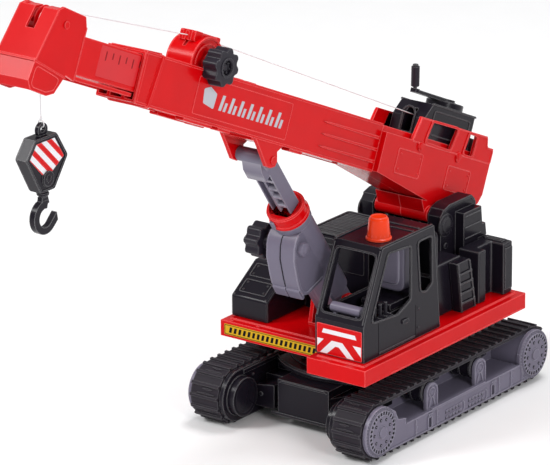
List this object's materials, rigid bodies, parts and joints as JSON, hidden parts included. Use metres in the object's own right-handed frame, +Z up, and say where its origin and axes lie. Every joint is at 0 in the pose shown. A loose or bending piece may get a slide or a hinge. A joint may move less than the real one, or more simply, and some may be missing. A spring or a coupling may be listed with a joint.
{
  "type": "toy crawler crane",
  "caption": "Toy crawler crane with a slewing deck and cab, telescoping luffing boom, hand knobs, crank winch and a swivel hook on a line.",
  "frame": {"origin": "middle of the object's footprint, on the floor under the tracks", "axes": "+X to the crane's left (cab side), -Y the way the boom points, +Z up"},
  "size_m": [0.1726, 0.5598, 0.4083],
  "materials": {
    "red_plastic": "glossy moulded",
    "black_plastic": "satin moulded",
    "grey_plastic": "satin moulded",
    "charcoal_plastic": "fine texture",
    "orange_lens": "glossy",
    "track_rubber": "matte",
    "steel": "plated",
    "line_nylon": "twisted"
  },
  "bodies": {
    "undercarriage": {"carbody": "black_plastic", "turntable_base": "black_plastic", "undercarriage_screws": "steel", "track_axles": "grey_plastic", "track_belt_left": "track_rubber", "track_belt_right": "track_rubber", "track_frame_left": "grey_plastic", "track_frame_right": "grey_plastic", "track_cover_left": "black_plastic", "track_cover_right": "black_plastic"},
    "superstructure": {"deck": "red_plastic", "slew_spigot": "charcoal_plastic", "cab_shell": "black_plastic", "cab_seat": "grey_plastic", "cab_console": "black_plastic", "beacon": "orange_lens", "engine_hood": "black_plastic", "front_box": "black_plastic", "side_cover": "black_plastic", "machine_case": "black_plastic", "side_steps": "black_plastic", "tower_left": "black_plastic", "tower_right": "black_plastic", "counterweight": "black_plastic", "cylinder_clevis": "red_plastic", "pivot_pins": "black_plastic", "superstructure_screws": "black_plastic"},
    "boom": {"boom_shell_left": "red_plastic", "boom_shell_right": "red_plastic", "winch_housing": "black_plastic", "telescope_gear_housing": "red_plastic", "cylinder_bracket": "red_plastic", "boom_fasteners": "red_plastic", "hoist_line_top": "line_nylon"},
    "telescope": {"inner_boom": "red_plastic", "telescope_rack": "grey_plastic", "boom_head": "red_plastic", "sheave_pin": "red_plastic"},
    "telescope_drive": {"telescope_knob": "charcoal_plastic"},
    "winch": {"winch_drum": "black_plastic", "crank_arm": "black_plastic"},
    "winch_handle": {"crank_handle": "charcoal_plastic"},
    "sheave": {"head_sheave": "red_plastic"},
    "luff_housing": {"cylinder_housing_left": "grey_plastic", "cylinder_housing_right": "grey_plastic", "cylinder_collar": "red_plastic"},
    "luff_rod": {"cylinder_rod": "grey_plastic"},
    "luff_drive": {"luff_knob": "charcoal_plastic"},
    "hook_line": {"hoist_line_drop": "line_nylon"},
    "line_end": {"line_knot": "line_nylon"},
    "block": {"hook_block": "black_plastic"},
    "hook_body": {"hook": "black_plastic"},
    "front_wheel_left_body": {"front_wheel_left": "grey_plastic"},
    "rear_wheel_left_body": {"rear_wheel_left": "grey_plastic"},
    "front_roller_left_body": {"front_roller_left": "black_plastic"},
    "rear_roller_left_body": {"rear_roller_left": "black_plastic"},
    "front_wheel_right_body": {"front_wheel_right": "grey_plastic"},
    "rear_wheel_right_body": {"rear_wheel_right": "grey_plastic"},
    "front_roller_right_body": {"front_roller_right": "black_plastic"},
    "rear_roller_right_body": {"rear_roller_right": "black_plastic"}
  },
  "joints": [
    {"name": "front_wheel_left_turn", "type": "hinge", "parent": "undercarriage", "child": "front_wheel_left_body", "pos_m": [0, 0.04059, 0.0232], "axis": [1, 0, 0], "continuous": true},
    {"name": "rear_wheel_left_turn", "type": "hinge", "parent": "undercarriage", "child": "rear_wheel_left_body", "pos_m": [0, 0.24729, 0.0232], "axis": [1, 0, 0], "continuous": true},
    {"name": "front_roller_left_turn", "type": "hinge", "parent": "undercarriage", "child": "front_roller_left_body", "pos_m": [0, 0.11144, 0.0326], "axis": [1, 0, 0], "continuous": true},
    {"name": "rear_roller_left_turn", "type": "hinge", "parent": "undercarriage", "child": "rear_roller_left_body", "pos_m": [0, 0.17644, 0.0326], "axis": [1, 0, 0], "continuous": true},
    {"name": "front_wheel_right_turn", "type": "hinge", "parent": "undercarriage", "child": "front_wheel_right_body", "pos_m": [0, 0.04059, 0.0232], "axis": [1, 0, 0], "continuous": true},
    {"name": "rear_wheel_right_turn", "type": "hinge", "parent": "undercarriage", "child": "rear_wheel_right_body", "pos_m": [0, 0.24729, 0.0232], "axis": [1, 0, 0], "continuous": true},
    {"name": "front_roller_right_turn", "type": "hinge", "parent": "undercarriage", "child": "front_roller_right_body", "pos_m": [0, 0.11144, 0.0326], "axis": [1, 0, 0], "continuous": true},
    {"name": "rear_roller_right_turn", "type": "hinge", "parent": "undercarriage", "child": "rear_roller_right_body", "pos_m": [0, 0.17644, 0.0326], "axis": [1, 0, 0], "continuous": true},
    {"name": "slew", "type": "hinge", "parent": "undercarriage", "child": "superstructure", "pos_m": [0, 0.14394, 0.0613], "axis": [0, 0, 1], "continuous": true},
    {"name": "luff", "type": "hinge", "parent": "superstructure", "child": "boom", "pos_m": [0, 0.19034, 0.1426], "axis": [-1, 0, 0], "range_deg": [-12, 12]},
    {"name": "telescope", "type": "slide", "parent": "boom", "child": "telescope", "axis": [0, -0.9143, 0.4051], "range_m": [-0.07, 0.15]},
    {"name": "telescope_knob_turn", "type": "hinge", "parent": "boom", "child": "telescope_drive", "pos_m": [0, -0.07377, 0.32658], "axis": [1, 0, 0], "range_deg": [-1135, 532]},
    {"name": "winch_turn", "type": "hinge", "parent": "boom", "child": "winch", "pos_m": [0, 0.20863, 0.1345], "axis": [0, 0.4051, 0.9143], "range_deg": [-120, 1430]},
    {"name": "crank_handle_turn", "type": "hinge", "parent": "winch", "child": "winch_handle", "pos_m": [0, 0.2034, 0.23525], "axis": [0, 0.0332, 0.9995], "continuous": true},
    {"name": "sheave_turn", "type": "hinge", "parent": "telescope", "child": "sheave", "pos_m": [0, -0.23782, 0.39523], "axis": [1, 0, 0], "range_deg": [-127, 1500]},
    {"name": "luff_housing_tilt", "type": "hinge", "parent": "superstructure", "child": "luff_housing", "pos_m": [0, 0.09494, 0.095], "axis": [-1, 0, 0], "range_deg": [-13.18, 13.18]},
    {"name": "luff_rod_tilt", "type": "hinge", "parent": "boom", "child": "luff_rod", "pos_m": [0, -0.00313, 0.23621], "axis": [-1, 0, 0], "range_deg": [-1.2, 1.2]},
    {"name": "luff_knob_turn", "type": "hinge", "parent": "luff_housing", "child": "luff_drive", "pos_m": [0, 0.03749, 0.15494], "axis": [1, 0, 0], "range_deg": [-240, 240]},
    {"name": "line_hang", "type": "hinge", "parent": "telescope", "child": "hook_line", "pos_m": [0, -0.23782, 0.39523], "axis": [-1, 0, 0], "range_deg": [-12.1, 12.1]},
    {"name": "hoist", "type": "slide", "parent": "hook_line", "child": "line_end", "axis": [0, 0, -1], "range_m": [-0.02, 0.235], "deforming": ["hoist_line_drop"]},
    {"name": "block_swing", "type": "hinge", "parent": "line_end", "child": "block", "pos_m": [0, -0.24687, 0.3204], "axis": [1, 0, 0], "range_deg": [-35, 35]},
    {"name": "hook_swivel", "type": "hinge", "parent": "block", "child": "hook_body", "pos_m": [0, -0.24687, 0.276], "axis": [0, 0, 1], "continuous": true}
  ],
  "couplings": [
    {"joint": "front_roller_left_turn", "follows": "front_wheel_left_turn", "ratio": 2.0323},
    {"joint": "rear_roller_left_turn", "follows": "front_wheel_left_turn", "ratio": 2.0323},
    {"joint": "rear_wheel_left_turn", "follows": "front_wheel_left_turn", "ratio": 1},
    {"joint": "front_roller_right_turn", "follows": "front_wheel_right_turn", "ratio": 2.0323},
    {"joint": "rear_roller_right_turn", "follows": "front_wheel_right_turn", "ratio": 2.0323},
    {"joint": "rear_wheel_right_turn", "follows": "front_wheel_right_turn", "ratio": 1},
    {"joint": "telescope_knob_turn", "follows": "telescope", "rad_per_m": -131.58},
    {"joint": "sheave_turn", "follows": "winch_turn", "ratio": 1.0387},
    {"joint": "luff_housing_tilt", "follows": "luff", "ratio": 1.09},
    {"joint": "luff_rod_tilt", "follows": "luff", "ratio": 0.09},
    {"joint": "luff_knob_turn", "follows": "luff", "ratio": -19},
    {"joint": "line_hang", "follows": "luff", "ratio": -1},
    {"joint": "hoist", "follows": "winch_turn", "m_per_rad": 0.0094}
  ]
}
